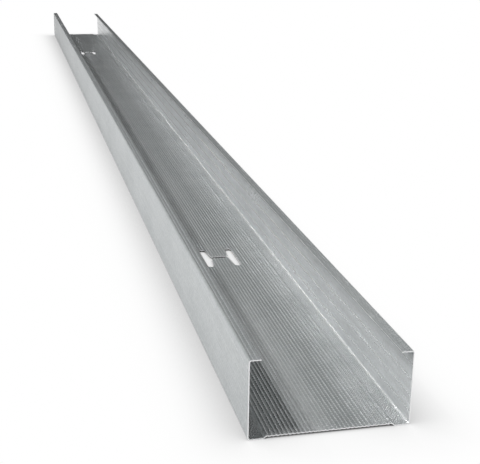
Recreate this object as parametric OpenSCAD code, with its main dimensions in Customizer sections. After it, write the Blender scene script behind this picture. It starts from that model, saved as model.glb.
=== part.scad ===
// Roll-formed C-stud of galvanised sheet, lying on its web
// X runs across the web, Y along the stud, Z up from the web's lowest face

/* [Stud] */
// Length of the cut stud
stud_l = 1900; // [900:10:4000]
// Thickness of the sheet
sheet_t = 0.6; // [0.5:0.05:1]

/* [Section] */
// Width over the outside of both flanges
web_w = 98.8; // [70:0.2:150]
// Height of the wide flange, over its bends
wide_flange_h = 50; // [40:0.5:60]
// Height of the narrow flange, which slips inside a wide one when two studs are boxed
narrow_flange_h = 47.5; // [40:0.5:60]
// Width of each lip, from the outside of its flange to the cut edge
lip_w = 7.5; // [5:0.25:12]
// Inside radius of the right-angle bends
bend_r = 0.9; // [0.5:0.1:2]

/* [Stepped web] */
// Strip that the stud rests on at each side of the web, from the outside of the flange to the step
rest_strip_w = 9; // [6:0.5:14]
// Height that the middle of the web is raised
step_h = 1.2; // [0.8:0.1:2]

/* [Service openings] */
// Distance from each end of the stud to the middle of its opening
opening_from_end = 310; // [150:5:400]
// Length of the two slots
slot_l = 44.5; // [30:0.5:70]
// Distance over the outer edges of the two slots
slots_over_w = 28.4; // [24:0.2:36]
// Width of a slot at its round ends
slot_end_w = 5.2; // [4:0.1:7]
// Width of a slot at the cut that joins the two
slot_mid_w = 7; // [4:0.1:9]
// Width of the cross cut between the two tabs
cross_cut_w = 2.4; // [0.6:0.1:5]

/* [Hidden] */
$fn = 96;
galvanised = [0.72, 0.74, 0.75];
// How far a cutter runs past the faces that it cuts
cut_past = 1;
corner_size = bend_r + sheet_t;

// A step in the web is two equal arcs that meet where the sheet climbs 4 in 3
climb_sin = 4 / 5;
climb_cos = 3 / 5;
step_mid_r = step_h / (2 * (1 - climb_cos));
step_run = 2 * step_mid_r * climb_sin;

rest_flat_l = rest_strip_w - corner_size;
raised_w = web_w - 2 * (rest_strip_w + step_run);

// The sheet in the order it is bent, from the wide flange's lip to the narrow one's
// Each row is the length of a flat and the form that follows it
STRIP = [
    [lip_w - corner_size, "bend"],
    [wide_flange_h - 2 * corner_size, "bend"],
    [rest_flat_l, "step up"],
    [raised_w, "step down"],
    [rest_flat_l, "bend"],
    [narrow_flange_h - 2 * corner_size, "bend"],
    [lip_w - corner_size, "cut edge"],
];

// A place on the middle of the sheet is [x, z, heading]
START = [lip_w - web_w / 2, wide_flange_h - sheet_t / 2, 180];

function moved(place, run, shift) = [
    place[0] + run * cos(place[2]) - shift * sin(place[2]),
    place[1] + run * sin(place[2]) + shift * cos(place[2]),
    place[2],
];
function turned(place) = [place[0], place[1], place[2] + 90];
function past_form(place, form) =
    form == "bend" ? turned(moved(place, bend_r + sheet_t / 2, bend_r + sheet_t / 2)) :
    form == "step up" ? moved(place, step_run, step_h) :
    form == "step down" ? moved(place, step_run, -step_h) :
    place;
function past_flat(place, row) = moved(place, row[0], 0);

// The place where each flat starts
FLAT_STARTS = [
    for (i = 0, place = START; i < len(STRIP);
        place = past_form(past_flat(place, STRIP[i]), STRIP[i][1]), i = i + 1) place
];

module at_place(place) {
    translate([place[0], place[1]]) rotate(place[2]) children();
}

module flat_run(length) {
    translate([0, -sheet_t / 2]) square([length, sheet_t]);
}

// Ring as thick as the sheet
module ring(mid_r) {
    difference() {
        circle(r = mid_r + sheet_t / 2);
        circle(r = mid_r - sheet_t / 2);
    }
}

// Right-angle bend to the left
module bend() {
    translate([0, bend_r + sheet_t / 2])
        intersection() {
            ring(bend_r + sheet_t / 2);
            translate([0, -corner_size]) square(corner_size);
        }
}

// The lower arc of a step, from level to its steepest place
module half_step() {
    reach = 2 * step_mid_r;
    translate([0, step_mid_r])
        intersection() {
            ring(step_mid_r);
            polygon([
                [0, 0],
                [0, -reach],
                [reach * climb_sin, -reach],
                [reach * climb_sin, -reach * climb_cos],
            ]);
        }
}

module step_up() {
    half_step();
    translate([step_run, step_h]) rotate(180) half_step();
}

module form(name) {
    if (name == "bend") bend();
    if (name == "step up") step_up();
    if (name == "step down") mirror([0, 1]) step_up();
}

module section() {
    for (i = [0 : len(STRIP) - 1]) {
        row = STRIP[i];
        at_place(FLAT_STARTS[i]) flat_run(row[0]);
        at_place(past_flat(FLAT_STARTS[i], row)) form(row[1]);
    }
}

// Slot on the +X side with round ends, its inner edge swelling towards the cross cut
module slot() {
    end_r = slot_end_w / 2;
    outer_x = slots_over_w / 2;
    end_y = slot_l / 2 - end_r;
    for (y = [-end_y, end_y]) translate([outer_x - end_r, y]) circle(r = end_r);
    polygon([
        [outer_x, -end_y],
        [outer_x, end_y],
        [outer_x - slot_end_w, end_y],
        [outer_x - slot_mid_w, 0],
        [outer_x - slot_end_w, -end_y],
    ]);
}

// H-shaped opening: two slots and a cross cut leave two tabs, which bend up to let a cable through
module service_opening() {
    translate([0, 0, step_h - cut_past])
        linear_extrude(height = sheet_t + 2 * cut_past) {
            slot();
            mirror([1, 0]) slot();
            square([slots_over_w - slot_mid_w, cross_cut_w], center = true);
        }
}

module c_stud() {
    color(galvanised)
        difference() {
            rotate([90, 0, 0]) linear_extrude(height = stud_l, center = true) section();
            for (end = [-1, 1])
                translate([0, end * (stud_l / 2 - opening_from_end), 0]) service_opening();
        }
}

c_stud();
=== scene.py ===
import math

import bpy
import numpy as np
from mathutils import Matrix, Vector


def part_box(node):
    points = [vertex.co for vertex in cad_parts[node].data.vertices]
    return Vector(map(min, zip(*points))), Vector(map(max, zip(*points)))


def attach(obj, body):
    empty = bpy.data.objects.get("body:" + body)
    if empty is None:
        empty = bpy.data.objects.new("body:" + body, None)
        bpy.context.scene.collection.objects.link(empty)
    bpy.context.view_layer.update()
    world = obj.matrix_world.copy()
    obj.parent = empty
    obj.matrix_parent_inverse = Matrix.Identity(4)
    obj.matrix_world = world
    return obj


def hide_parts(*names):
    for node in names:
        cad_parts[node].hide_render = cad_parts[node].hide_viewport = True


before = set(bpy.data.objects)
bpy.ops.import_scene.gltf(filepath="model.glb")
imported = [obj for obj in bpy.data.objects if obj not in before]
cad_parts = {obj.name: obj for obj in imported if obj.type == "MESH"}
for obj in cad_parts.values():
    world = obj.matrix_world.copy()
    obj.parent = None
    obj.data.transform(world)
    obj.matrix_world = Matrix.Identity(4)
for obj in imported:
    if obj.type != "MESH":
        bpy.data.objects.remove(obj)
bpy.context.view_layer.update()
studLow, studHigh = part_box("c_stud")
print("frame loaded, stud box", [round(b - a, 4) for a, b in zip(studLow, studHigh)])


# Wraps a socket, so that sums and products of wires add Math nodes by themselves
class Wire:
    def __init__(self, tree, socket=None):
        self.tree = tree
        self.socket = socket

    # Adds a node of that type: its settings first, then the values or wires of its sockets
    def add(self, kind, settings=None, sockets=None, out=0):
        node = self.tree.nodes.new(kind)
        for name, value in (settings or {}).items():
            setattr(node, name, value)
        for name, value in (sockets or {}).items():
            if isinstance(value, Wire):
                self.tree.links.new(value.socket, node.inputs[name])
            else:
                node.inputs[name].default_value = value
        return Wire(self.tree, node.outputs[out])

    # Another output of the same node
    def other(self, name):
        return Wire(self.tree, self.socket.node.outputs[name])

    def maths(self, operation, *values):
        return self.add("ShaderNodeMath", {"operation": operation}, dict(enumerate(values)))

    def __add__(self, other):
        return self.maths("ADD", self, other)

    def __radd__(self, other):
        return self.maths("ADD", other, self)

    def __sub__(self, other):
        return self.maths("SUBTRACT", self, other)

    def __rsub__(self, other):
        return self.maths("SUBTRACT", other, self)

    def __mul__(self, other):
        return self.maths("MULTIPLY", self, other)

    def __rmul__(self, other):
        return self.maths("MULTIPLY", other, self)


# A new material, its start wire and its Principled shader
def newMaterial(name):
    material = bpy.data.materials.new(name)
    material.use_nodes = True
    shader = material.node_tree.nodes["Principled BSDF"]
    return material, Wire(material.node_tree), shader


def feed(shader, socketName, wire):
    wire.tree.links.new(wire.socket, shader.inputs[socketName])


# From the first colour at 0 to the second at 1
def mixColours(wire, factor, first, second):
    return wire.add("ShaderNodeMix", {"data_type": "RGBA"}, {0: factor, 6: first, 7: second}, 2)


# 0 below the first place, 1 above the second, smooth between them
def ramp(wire, value, start, end):
    return wire.add("ShaderNodeMapRange", {"interpolation_type": "SMOOTHSTEP"}, {
        "Value": value,
        "From Min": start,
        "From Max": end,
    })


def showObject(name, data):
    made = bpy.data.objects.new(name, data)
    bpy.context.scene.collection.objects.link(made)
    return made


# The strip of sheet, bent
sheet = {
    "thickness": 0.0006,
    "lipWidth": 0.0075,
    "narrowFlangeDrop": 0.0025,   # the narrow flange is this much lower than the wide one
    "bendRadius": 0.0009,         # inside
    "restStrip": 0.009,           # from the outside of a flange to the step in the web
    "stepHeight": 0.0012,
    "climbSin": 0.8,              # a step climbs 4 in 3 where it is steepest
    "climbCos": 0.6,
    "rowPitch": 0.0025,
    "rowHeight": 0.0004,
    "rowHeightSpread": 0.45,      # a row of the web may be lower than the tallest by this share
    "rowSeed": 5,
    "rowSharpness": 4,
    "plainRow": 0.1,              # height of the rows on the flanges, against the web's tallest
    "lipRow": 0.6,
    "highlightRowEvery": 4,          # one row of each so many on a flange gets a painted highlight and deeper dimples
    "highlightRow": 1.4,             # how strong its painted highlight is, against a ridge of the web,
    "highlightRowDimpled": 0.6,      # and how deep its dimples are
    "flangeInsidePaintedLight": 1.6,            # painted light: how much lighter the whole inside of a flange is
    "outsideWearAndSheen": 0.5,         # how much wear and painted highlight the outside's ridges have
    "pointsPerRow": 10,
    "pointsPerBend": 12,
    "pointsPerStepArc": 7,
    "stations": 32,
    "sharpAngle": 35,             # degrees, the least angle that shows as an edge
}

opening = {
    "fromEnd": 0.310,
    "slotLength": 0.0445,
    "overSlots": 0.0284,
    "slotEndWidth": 0.0052,
    "slotMidWidth": 0.007,
    "crossCut": 0.0024,
    "arcPoints": 24,
    "cutterHeight": 0.004,
    "lift": 0.0007,        # the far tab stands up this much at its cut edge,
    "liftReach": 0.008,    # and comes down to the web over this distance
    "liftStations": 5,
    "edgeHighlight": 4,       # painted highlight on the far tab at its cut edge
}


# Middle of each opening along the stud
def openingMiddles():
    reach = studHigh.y - opening["fromEnd"]
    return -reach, reach


# Kind, length and turn of each flat and arc, in the order that the strip is bent
def stripPieces():
    width = studHigh.x - studLow.x
    height = studHigh.z - studLow.z
    corner = sheet["bendRadius"] + sheet["thickness"]
    bendLength = (sheet["bendRadius"] + sheet["thickness"] / 2) * math.pi / 2
    stepRadius = sheet["stepHeight"] / (2 * (1 - sheet["climbCos"]))
    climb = math.asin(sheet["climbSin"])
    stepRun = 2 * stepRadius * sheet["climbSin"]
    raised = width - 2 * (sheet["restStrip"] + stepRun)
    bend = ("bend", bendLength, math.pi / 2)
    arcUp = ("step", stepRadius * climb, climb)
    arcDown = ("step", stepRadius * climb, -climb)
    lip = ("flat", sheet["lipWidth"] - corner, 0)
    rest = ("flat", sheet["restStrip"] - corner, 0)
    return [
        lip, bend,
        ("flat", height - 2 * corner, 0), bend,
        rest, arcUp, arcDown,
        ("flat", raised, 0),
        arcDown, arcUp, rest, bend,
        ("flat", height - sheet["narrowFlangeDrop"] - 2 * corner, 0), bend,
        lip,
    ]


# Middle line of the sheet: distance along the strip, place and heading. Between the ends of a piece the
# heading goes evenly with the distance, and each short chord is exact for its arc.
def stripLine():
    pieces = stripPieces()
    perPiece = {"bend": sheet["pointsPerBend"], "step": sheet["pointsPerStepArc"]}
    ends = np.cumsum([0.0] + [length for _, length, _ in pieces])
    turns = np.cumsum([0.0] + [turn for _, _, turn in pieces])
    runs = []
    for (kind, length, _), start in zip(pieces, ends):
        count = perPiece.get(kind) or int(np.ceil(length / sheet["rowPitch"] * sheet["pointsPerRow"]))
        runs.append(np.linspace(start, start + length, count, endpoint=False))
    along = np.append(np.concatenate(runs), ends[-1])
    heading = math.pi + np.interp(along, ends, turns)
    halfTurn = np.diff(heading) / 2
    chord = np.diff(along) * np.sinc(halfTurn / math.pi)
    middle = heading[:-1] + halfTurn
    x = studLow.x + sheet["lipWidth"] + np.append(0.0, np.cumsum(chord * np.cos(middle)))
    z = studHigh.z - sheet["thickness"] / 2 + np.append(0.0, np.cumsum(chord * np.sin(middle)))
    return along, x, z, heading


# Rolled rows, from 0 to 1: a raised cosine to a power, so that each row is a narrow ridge, times its own
# height. That differs by chance on the raised web, and is low on the flanges. The flange rows with a
# painted highlight have the same profile, and come apart, because they are no taller than the others.
def rowProfile(along, raised, flange, lip):
    ridge = (0.5 + 0.5 * np.cos(2 * math.pi * along / sheet["rowPitch"])) ** sheet["rowSharpness"]
    row = np.rint(along / sheet["rowPitch"]).astype(int)
    chance = np.random.default_rng(sheet["rowSeed"]).random(row.max() + 1)[row]
    webRows = 1 - sheet["rowHeightSpread"] * chance
    rows = (raised * webRows + flange * sheet["plainRow"] + lip * sheet["lipRow"]) * ridge
    highlightRows = flange * (row % sheet["highlightRowEvery"] == 1) * ridge
    return rows, highlightRows


# Places of the stations along the stud: even, with closer ones where a tab is lifted
def stationPlaces():
    even = np.linspace(studLow.y, studHigh.y, sheet["stations"])
    closer = np.linspace(0, opening["liftReach"], opening["liftStations"]) + opening["crossCut"] / 2
    return np.unique(np.concatenate([even] + [closer + middle for middle in openingMiddles()]))


# Gives each corner of the mesh a number that a material reads
def numberCorners(mesh, name, values):
    numbers = np.ascontiguousarray(values, dtype=np.float32).ravel()
    mesh.attributes.new(name, "FLOAT", "POINT").data.foreach_set("value", numbers)


# The sheet as a function of two parameters: distance along the strip and distance along the stud.
# Each face is the middle line moved half a thickness along its normal, and the rows push both inwards.
def bentSheet(name):
    along, x, z, heading = stripLine()
    y = stationPlaces()
    half = sheet["thickness"] / 2
    web = np.cos(heading) > 0.5
    raised = web * np.clip((z - half) / sheet["stepHeight"], 0, 1) ** 2
    flange = np.abs(np.sin(heading)) ** 4
    lip = np.clip(-np.cos(heading), 0, 1) ** 2
    rows, highlightRows = rowProfile(along, raised, flange, lip)
    inward = sheet["rowHeight"] * rows
    normalX, normalZ = -np.sin(heading), np.cos(heading)
    columns, stations = len(along), len(y)
    corners = np.empty((2, stations, columns, 3))
    for side, shift in enumerate((-half, half)):
        corners[side, :, :, 0] = x + normalX * (inward + shift)
        corners[side, :, :, 1] = y[:, None]
        corners[side, :, :, 2] = z + normalZ * (inward + shift)
    number = np.arange(2 * stations * columns).reshape(2, stations, columns)

    def quads(grid):
        around = [grid[:-1, :-1], grid[:-1, 1:], grid[1:, 1:], grid[1:, :-1]]
        return np.stack(around, axis=-1).reshape(-1, 4)

    outer = quads(number[0])
    inner = quads(number[1])[:, ::-1]
    nearEnd = quads(number[:, 0, :])[:, ::-1]
    farEnd = quads(number[:, -1, :])
    firstLip = quads(number[:, :, 0])
    lastLip = quads(number[:, :, -1])[:, ::-1]
    faces = np.concatenate([outer, inner, nearEnd, farEnd, firstLip, lastLip])
    mesh = bpy.data.meshes.new(name)
    mesh.from_pydata(corners.reshape(-1, 3), [], faces)
    sheared = np.arange(len(faces)) >= len(outer) + len(inner)
    mesh.polygons.foreach_set("material_index", sheared.astype(np.int32))
    uv = np.empty((2, stations, columns, 2))
    uv[..., 0] = along
    uv[..., 1] = y[:, None]
    layer = mesh.uv_layers.new(name="strip")
    loopCorner = np.empty(len(mesh.loops), np.int32)
    mesh.loops.foreach_get("vertex_index", loopCorner)
    layer.uv.foreach_set("vector", uv.reshape(-1, 2)[loopCorner].astype(np.float32).ravel())
    numberCorners(mesh, "outside", np.repeat([1.0, 0.0], stations * columns))
    # Ridges get wear and a painted highlight; the flanges' inside and some flange rows get painted light
    # only
    wearAndPaintedLight = np.empty((2, stations, columns))
    wearAndPaintedLight[0] = sheet["outsideWearAndSheen"] * rows
    wearAndPaintedLight[1] = rows + sheet["highlightRow"] * highlightRows + sheet["flangeInsidePaintedLight"] * flange
    numberCorners(mesh, "wearAndPaintedLight", wearAndPaintedLight)
    dimpled = rows + sheet["highlightRowDimpled"] * highlightRows
    numberCorners(mesh, "dimpled", np.broadcast_to(dimpled, (2, stations, columns)))
    return showObject(name, mesh)


# Cutter for one H-shaped opening: a quarter of the outline, mirrored three times, as a prism
def openingCutter(name, middleY):
    radius = opening["slotEndWidth"] / 2
    outerX = opening["overSlots"] / 2
    endY = opening["slotLength"] / 2 - radius
    cutY = opening["crossCut"] / 2
    swell = opening["slotMidWidth"] - opening["slotEndWidth"]
    cutX = outerX - opening["slotMidWidth"] + swell * cutY / endY
    turn = np.linspace(math.pi, 0, opening["arcPoints"])
    arc = np.stack([outerX - radius + radius * np.cos(turn), endY + radius * np.sin(turn)], axis=1)
    quarter = np.concatenate([[[cutX, cutY]], arc])
    outline = np.concatenate([
        quarter,
        quarter[::-1] * [1, -1],
        quarter * [-1, -1],
        quarter[::-1] * [-1, 1],
    ]) + [0, middleY]
    count = len(outline)
    top = sheet["stepHeight"] + sheet["thickness"] / 2 + opening["cutterHeight"] / 2
    levels = np.repeat([top - opening["cutterHeight"], top], count)
    corners = np.column_stack([np.tile(outline, (2, 1)), levels])
    ring = np.arange(count)
    after = np.roll(ring, -1)
    walls = np.stack([after, ring, ring + count, after + count], axis=1)
    mesh = bpy.data.meshes.new(name)
    mesh.from_pydata(corners, [], walls.tolist() + [ring.tolist(), (ring[::-1] + count).tolist()])
    mesh.polygons.foreach_set("material_index", np.ones(count + 2, np.int32))
    return showObject(name, mesh)


# Cuts the openings, and keeps the result as the piece's own mesh
def cutOpenings(piece):
    cutters = [openingCutter("cutter" + str(i), middle) for i, middle in enumerate(openingMiddles())]
    for cutter in cutters:
        for material in piece.data.materials:
            cutter.data.materials.append(material)
        modifier = piece.modifiers.new(cutter.name, "BOOLEAN")
        modifier.operation = "DIFFERENCE"
        modifier.solver = "EXACT"
        modifier.object = cutter
    graph = bpy.context.evaluated_depsgraph_get()
    cut = bpy.data.meshes.new_from_object(piece.evaluated_get(graph))
    piece.modifiers.clear()
    piece.data = cut
    for cutter in cutters:
        bpy.data.objects.remove(cutter)
    liftTabs(cut)


# Lifts the tab beyond each cross cut by the square of how near a corner is to the cut, and paints a
# highlight on it by the fourth power of that
def liftTabs(mesh):
    corners = np.empty(len(mesh.vertices) * 3)
    mesh.vertices.foreach_get("co", corners)
    corners = corners.reshape(-1, 3)
    wearAndPaintedLight = np.empty(len(mesh.vertices))
    mesh.attributes["wearAndPaintedLight"].data.foreach_get("value", wearAndPaintedLight)
    onTab = np.abs(corners[:, 0]) < opening["overSlots"] / 2 - opening["slotEndWidth"] / 2
    onWeb = corners[:, 2] < 2 * (sheet["stepHeight"] + sheet["thickness"])
    for middle in openingMiddles():
        beyond = corners[:, 1] - middle
        near = 1 - np.clip((beyond - opening["crossCut"] / 2) / opening["liftReach"], 0, 1)
        near = near * (onTab & onWeb & (beyond > 0))
        corners[:, 2] += opening["lift"] * near ** 2
        wearAndPaintedLight += opening["edgeHighlight"] * near ** 4
    mesh.vertices.foreach_set("co", corners.ravel())
    mesh.attributes["wearAndPaintedLight"].data.foreach_set("value", wearAndPaintedLight)
    mesh.update()


# Rolled and dimpled zinc coating. Lengths and places are in metres, across the strip from the first lip's
# edge, or along the stud. Shares say how much each thing adds to the shade, from 0, dark, to 1, light.
zinc = {
    "dark": (0.3, 0.326, 0.331, 1),
    "light": (0.92, 0.935, 0.94, 1),
    "metal": 0.5,
    "roughness": 0.33,
    "roughnessSpread": 0.2,     # light zinc is smoother than dark by this much
    "middleShade": 0.5,         # shade whose roughness is the one above
    "grainSize": 0.0013,
    "grainShare": 0.14,
    "streakWidth": 0.003,
    "streakLength": 0.25,
    "streakDetail": 3,
    "streakShare": 0.32,
    "streakLoss": 0.2,          # the outside of the stud has weaker streaks,
    "cloudSize": 0.06,
    "cloudDetail": 2,
    "cloudShare": 0.30,
    "cloudLoss": 0.16,          # and weaker clouds
    "ridgeShare": 0.2,          # ridges: wear and a painted highlight on them, painted shade between them
    "ridgeMiddle": 0.2,         # how much wear and painted light a place has where that changes nothing
    "dimpleStep": 0.003,        # along the stud
    "dimpleDepth": 0.00025,
    # painted highlight: the tops of dimples and speckles are this much lighter
    "dimpleHighlightShare": 0.5,
    "speckleFrom": 0.126,       # between these places, beside the narrow flange,
    "speckleFull": 0.138,       # the rows break up into separate small dimples
    "speckleTo": 0.154,
    "wideRestFrom": 0.0565,     # and between these, where the sheet rests beside the wide flange
    "wideRestTo": 0.0645,
    "specklePitch": 0.0016,     # across the strip
    "speckleStep": 0.0022,      # along the stud
    "speckleEven": 0.5,         # the more, the less they differ by chance
    "speckleHeight": 1.2,
    "creaseFrom": 0.1525,       # a highlight is painted on the inside of the bend beside the narrow flange,
    "creaseMiddle": 0.1541,
    "creaseTo": 0.1557,
    "creaseHighlightShare": 0.75,
    "creaseFarHighlightShare": 2.5,      # and more so at the far half of the stud, between these places along it
    "creaseFarFrom": -0.5,
    "creaseFarTo": 0.5,
}


# Coordinates on the unrolled strip: across it and along the stud
def stripCoordinates(wire):
    uv = wire.add("ShaderNodeUVMap", {"uv_map": "strip"})
    across = wire.add("ShaderNodeSeparateXYZ", {}, {"Vector": uv})
    return across, across.other("Y")


# A number that the mesh holds for each corner
def heldNumber(wire, name):
    return wire.add("ShaderNodeAttribute", {"attribute_name": name}, {}, "Fac")


# Vector whose unit is that wide across the strip and that long along the stud
def stripVector(wire, across, lengthwise, width, length):
    return wire.add("ShaderNodeCombineXYZ", {}, {"X": across * (1 / width), "Y": lengthwise * (1 / length)})


# Noise whose blotches are that wide and that long
def stripNoise(wire, across, lengthwise, width, length, detail):
    vector = stripVector(wire, across, lengthwise, width, length)
    return wire.add("ShaderNodeTexNoise", {"noise_dimensions": "2D"}, {
        "Vector": vector,
        "Scale": 1,
        "Detail": detail,
    })


# Grains of zinc: one chance number in each Voronoi cell
def zincGrain(wire, across, lengthwise):
    vector = stripVector(wire, across, lengthwise, zinc["grainSize"], zinc["grainSize"])
    cells = wire.add("ShaderNodeTexVoronoi", {"voronoi_dimensions": "2D"}, {
        "Vector": vector,
        "Scale": 1,
    }, "Color")
    return wire.add("ShaderNodeSeparateColor", {}, {"Color": cells})


# 1 in the band beside the narrow flange and on the rest strip beside the wide one, 0 elsewhere
def speckledBands(wire, across):
    soft = sheet["bendRadius"]
    narrowSide = ramp(wire, across, zinc["speckleFrom"], zinc["speckleFull"])
    narrowSide = narrowSide - ramp(wire, across, zinc["speckleTo"], zinc["speckleTo"] + soft)
    wideSide = ramp(wire, across, zinc["wideRestFrom"], zinc["wideRestFrom"] + soft)
    wideSide = wideSide - ramp(wire, across, zinc["wideRestTo"] - soft, zinc["wideRestTo"])
    return narrowSide + wideSide


# Height of the dimples. On the rows it is the rows' own profile times a cosine along the stud, whose phase
# turns by half a wave from row to row. In the speckled bands it is a cosine across times a cosine along,
# times a height that differs from grain to grain.
def dimpleHeight(wire, across, lengthwise, grain):
    turn = lengthwise * (2 * math.pi / zinc["dimpleStep"]) + across * (math.pi / sheet["rowPitch"])
    onRows = heldNumber(wire, "dimpled") * wire.maths("COSINE", turn)
    speckles = wire.maths("COSINE", across * (2 * math.pi / zinc["specklePitch"]))
    speckles = speckles * wire.maths("COSINE", lengthwise * (2 * math.pi / zinc["speckleStep"]))
    speckles = speckles * (grain + zinc["speckleEven"]) * zinc["speckleHeight"]
    speckled = speckledBands(wire, across)
    return onRows * (1 - speckled) + speckles * speckled


# What the painted highlight on the crease adds to the shade: a smooth peak across the bend, on the inside
# only, which grows along the stud
def paintedCreaseHighlight(wire, across, lengthwise, outside):
    peak = ramp(wire, across, zinc["creaseFrom"], zinc["creaseMiddle"])
    peak = peak - ramp(wire, across, zinc["creaseMiddle"], zinc["creaseTo"])
    farShare = ramp(wire, lengthwise, zinc["creaseFarFrom"], zinc["creaseFarTo"]) * zinc["creaseFarHighlightShare"]
    return peak * (1 - outside) * (farShare + zinc["creaseHighlightShare"])


# Zinc: its shade is a weighted sum of grains, rolling streaks, clouds, of wear and painted light on the
# ridges, and of painted highlights on dimples and the crease. Half of what the clouds lose on the outside
# is given back, so that its middle shade stays.
def galvanisedMaterial():
    material, wire, shader = newMaterial("galvanisedSheet")
    across, lengthwise = stripCoordinates(wire)
    grain = zincGrain(wire, across, lengthwise)
    streak = stripNoise(
        wire, across, lengthwise, zinc["streakWidth"], zinc["streakLength"], zinc["streakDetail"])
    cloud = stripNoise(wire, across, lengthwise, zinc["cloudSize"], zinc["cloudSize"], zinc["cloudDetail"])
    wearAndPaintedLight = heldNumber(wire, "wearAndPaintedLight")
    outside = heldNumber(wire, "outside")
    dimples = dimpleHeight(wire, across, lengthwise, grain)
    shade = grain * zinc["grainShare"] + streak * (zinc["streakShare"] - outside * zinc["streakLoss"])
    shade = shade + cloud * (zinc["cloudShare"] - outside * zinc["cloudLoss"])
    shade = shade + outside * (zinc["cloudLoss"] / 2)
    # wear and painted light: lighter ridges, duller coating between them
    shade = shade + (wearAndPaintedLight - zinc["ridgeMiddle"]) * zinc["ridgeShare"]
    # painted highlight on the tops of dimples and speckles
    shade = shade + wire.maths("MAXIMUM", dimples, 0) * zinc["dimpleHighlightShare"]
    # painted highlight along the crease
    shade = shade + paintedCreaseHighlight(wire, across, lengthwise, outside)
    feed(shader, "Base Color", mixColours(wire, shade, zinc["dark"], zinc["light"]))
    smoother = zinc["middleShade"] - wire.maths("MINIMUM", shade, 1)
    feed(shader, "Roughness", zinc["roughness"] + smoother * zinc["roughnessSpread"])
    feed(shader, "Normal", wire.add("ShaderNodeBump", {}, {
        "Strength": 1,
        "Distance": zinc["dimpleDepth"],
        "Height": dimples,
    }))
    shader.inputs["Metallic"].default_value = zinc["metal"]
    return material


shearedEdge = {
    "colour": (0.95, 0.955, 0.96, 1),
    "metal": 0.6,
    "roughness": 0.35,
}


def shearedEdgeMaterial():
    material, _, shader = newMaterial("shearedEdge")
    shader.inputs["Base Color"].default_value = shearedEdge["colour"]
    shader.inputs["Metallic"].default_value = shearedEdge["metal"]
    shader.inputs["Roughness"].default_value = shearedEdge["roughness"]
    return material


studSheet = bentSheet("stud_sheet")
studSheet.data.materials.append(galvanisedMaterial())
studSheet.data.materials.append(shearedEdgeMaterial())
cutOpenings(studSheet)
studSheet.data.shade_smooth()
studSheet.data.set_sharp_from_angle(angle=math.radians(sheet["sharpAngle"]))
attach(studSheet, "root")
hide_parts("c_stud")
print("stud sheet made,", len(studSheet.data.polygons), "faces")


floor = {
    "reach": 60,
    "colour": (0.8, 0.8, 0.8, 1),
    "seenColour": (0.09, 0.09, 0.09, 1),   # with the glow, an open floor looks white, and its shadows soft
    "glow": 0.88,
    "openness": 8,                         # rays that look for walls near a place
    "gapReach": 0.002,                     # the glow dies out in gaps narrower than this,
    "gapFrom": 0.3,                        # from this openness down
    "gapTo": 0.65,                         # and is whole from this one up
    "wallReach": 0.04,                     # it is a little dimmer beside walls nearer than this
    "wallPower": 0.65,
    "fadeReach": 0.06,                     # the shadow fades out over this distance from the stud
}


# How far x and y are from the middle of the floor
def floorPlace(wire):
    place = wire.add("ShaderNodeTexCoord", {}, {}, "Object")
    x = wire.add("ShaderNodeSeparateXYZ", {}, {"Vector": place})
    return wire.maths("ABSOLUTE", x), wire.maths("ABSOLUTE", x.other("Y"))


# From 0 at the stud's box on the floor to 1 away from it, by the length of what x and y stand beyond its
# sides
def awayFromStud(wire, x, y):
    beyondX = wire.maths("MAXIMUM", x - studHigh.x, 0)
    beyondY = wire.maths("MAXIMUM", y - studHigh.y, 0)
    distance = wire.maths("SQRT", beyondX * beyondX + beyondY * beyondY)
    return ramp(wire, distance, 0, floor["fadeReach"])


# How open the floor is above a place, as far as that reach
def openFloor(wire, reach):
    return wire.add("ShaderNodeAmbientOcclusion", {"samples": floor["openness"]}, {"Distance": reach}, "AO")


# Glow of the floor near the stud, with a painted contact shadow: none in gaps, apart from the strips that
# the web rests on, times a power of how open the floor is beside walls
def floorGlow(wire, x):
    gap = openFloor(wire, floor["gapReach"])
    wall = openFloor(wire, floor["wallReach"])
    resting = ramp(wire, x, studHigh.x - sheet["restStrip"], studHigh.x - sheet["restStrip"] / 2)
    lit = wire.maths("MAXIMUM", ramp(wire, gap, floor["gapFrom"], floor["gapTo"]), resting)
    lit = lit * wire.maths("POWER", wall, floor["wallPower"])
    return mixColours(wire, lit * floor["glow"], (0, 0, 0, 1), (1, 1, 1, 1))


# Lamps light the floor as a plain pale one. Seen straight or in the metal, it glows softly, and is white
# away from the stud.
def makeFloor():
    reach = floor["reach"]
    mesh = bpy.data.meshes.new("floor")
    corners = [(-reach, -reach, 0), (reach, -reach, 0), (reach, reach, 0), (-reach, reach, 0)]
    mesh.from_pydata(corners, [], [(0, 1, 2, 3)])
    piece = showObject("floor", mesh)
    material, wire, plain = newMaterial("paleFloor")
    plain.inputs["Base Color"].default_value = floor["colour"]
    plain.inputs["Roughness"].default_value = 1
    plain.inputs["Specular IOR Level"].default_value = 0
    x, y = floorPlace(wire)
    shadowed = wire.add("ShaderNodeBsdfPrincipled", {}, {
        "Base Color": floor["seenColour"],
        "Roughness": 1,
        "Specular IOR Level": 0,
        "Emission Color": floorGlow(wire, x),
        "Emission Strength": 1,
    })
    white = wire.add("ShaderNodeEmission", {}, {"Strength": 1})
    seen = wire.add("ShaderNodeMixShader", {}, {0: awayFromStud(wire, x, y), 1: shadowed, 2: white})
    path = wire.add("ShaderNodeLightPath")
    straight = path + path.other("Is Glossy Ray") + path.other("Is Transmission Ray")
    lampLit = Wire(wire.tree, plain.outputs[0])
    whole = wire.add("ShaderNodeMixShader", {}, {0: straight, 1: lampLit, 2: seen})
    feed(material.node_tree.nodes["Material Output"], "Surface", whole)
    mesh.materials.append(material)


makeFloor()
print("floor made")

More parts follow.
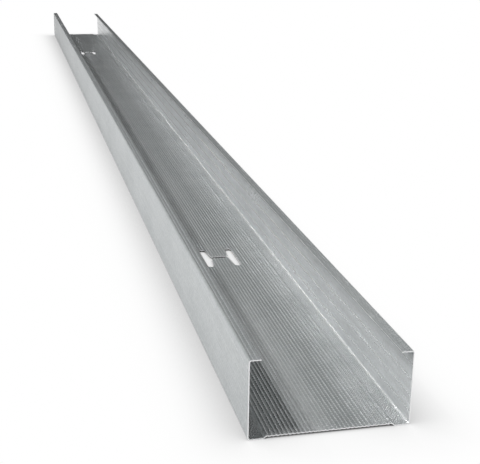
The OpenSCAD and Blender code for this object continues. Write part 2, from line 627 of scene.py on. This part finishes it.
# Place and aim in metres, size along the stud and across it, power in watts
lamps = {
    "nearStrip": {
        "place": (-0.56, -0.95, 1.05), "aim": (-0.03, -0.95, 0), "size": (0.4, 0.06), "power": 6,
    },
    "middleStrip": {
        "place": (-0.76, 0.0, 1.05), "aim": (-0.03, 0.0, 0), "size": (0.6, 0.06), "power": 6.5,
    },
    "backStrip": {
        "place": (-0.98, 3.9, 1.75), "aim": (-0.03, 3.9, 0), "size": (1.4, 0.1), "power": 14,
    },
    "rightStrip": {
        "place": (1.6, 2.0, 1.6), "aim": (0, -0.5, 0), "size": (1.0, 0.4), "power": 6,
    },
    "leftSoftbox": {
        "place": (-1.9, -0.85, 1.15), "aim": (0.03, -0.85, 0), "size": (0.7, 0.7), "power": 19.5,
    },
    "frontSoftbox": {
        "place": (-0.1, -4.2, 0.65), "aim": (0, -0.5, 0.02), "size": (2.4, 0.9), "power": 32,
    },
}


# Matrix of a lamp there that shines at its aim, with its first side level
def aimed(place, aim):
    back = (np.array(place) - np.array(aim)).astype(float)
    back /= np.linalg.norm(back)
    side = np.cross([0, 0, 1], back)
    side /= np.linalg.norm(side)
    up = np.cross(back, side)
    matrix = Matrix.Identity(4)
    for i in range(3):
        matrix[i][0], matrix[i][1], matrix[i][2], matrix[i][3] = side[i], up[i], back[i], place[i]
    return matrix


def makeLamps():
    for name, lamp in lamps.items():
        data = bpy.data.lights.new(name, "AREA")
        data.shape = "RECTANGLE"
        data.size, data.size_y = lamp["size"]
        data.energy = lamp["power"]
        showObject(name, data).matrix_world = aimed(lamp["place"], lamp["aim"])


makeLamps()

studio = {
    "colour": (1, 1, 1, 1),
    "strength": 0.05,
}

world = bpy.data.worlds.new("studio")
bpy.context.scene.world = world
world.use_nodes = True
background = world.node_tree.nodes["Background"]
background.inputs["Color"].default_value = studio["colour"]
background.inputs["Strength"].default_value = studio["strength"]
print(len(lamps), "lamps placed")

view = {
    "place": (-0.1757, -1.4587, 0.2921),
    "turn": -13.28,    # degrees from +Y, negative to the right
    "tilt": 17.68,     # degrees below level
    "roll": 0.9,       # degrees, the camera's right side raised
    "lens": 77.19,     # millimetres
    "clipStart": 0.05,
}


def makeCamera():
    data = bpy.data.cameras.new("camera")
    data.lens = view["lens"]
    data.clip_start = view["clipStart"]
    camera = showObject("camera", data)
    turn = Matrix.Rotation(math.radians(view["turn"]), 4, "Z")
    tilt = Matrix.Rotation(math.radians(90 - view["tilt"]), 4, "X")
    roll = Matrix.Rotation(math.radians(view["roll"]), 4, "Z")
    camera.matrix_world = Matrix.Translation(view["place"]) @ turn @ tilt @ roll
    bpy.context.scene.camera = camera


makeCamera()
bpy.context.scene.view_settings.view_transform = "Standard"
print("camera placed")
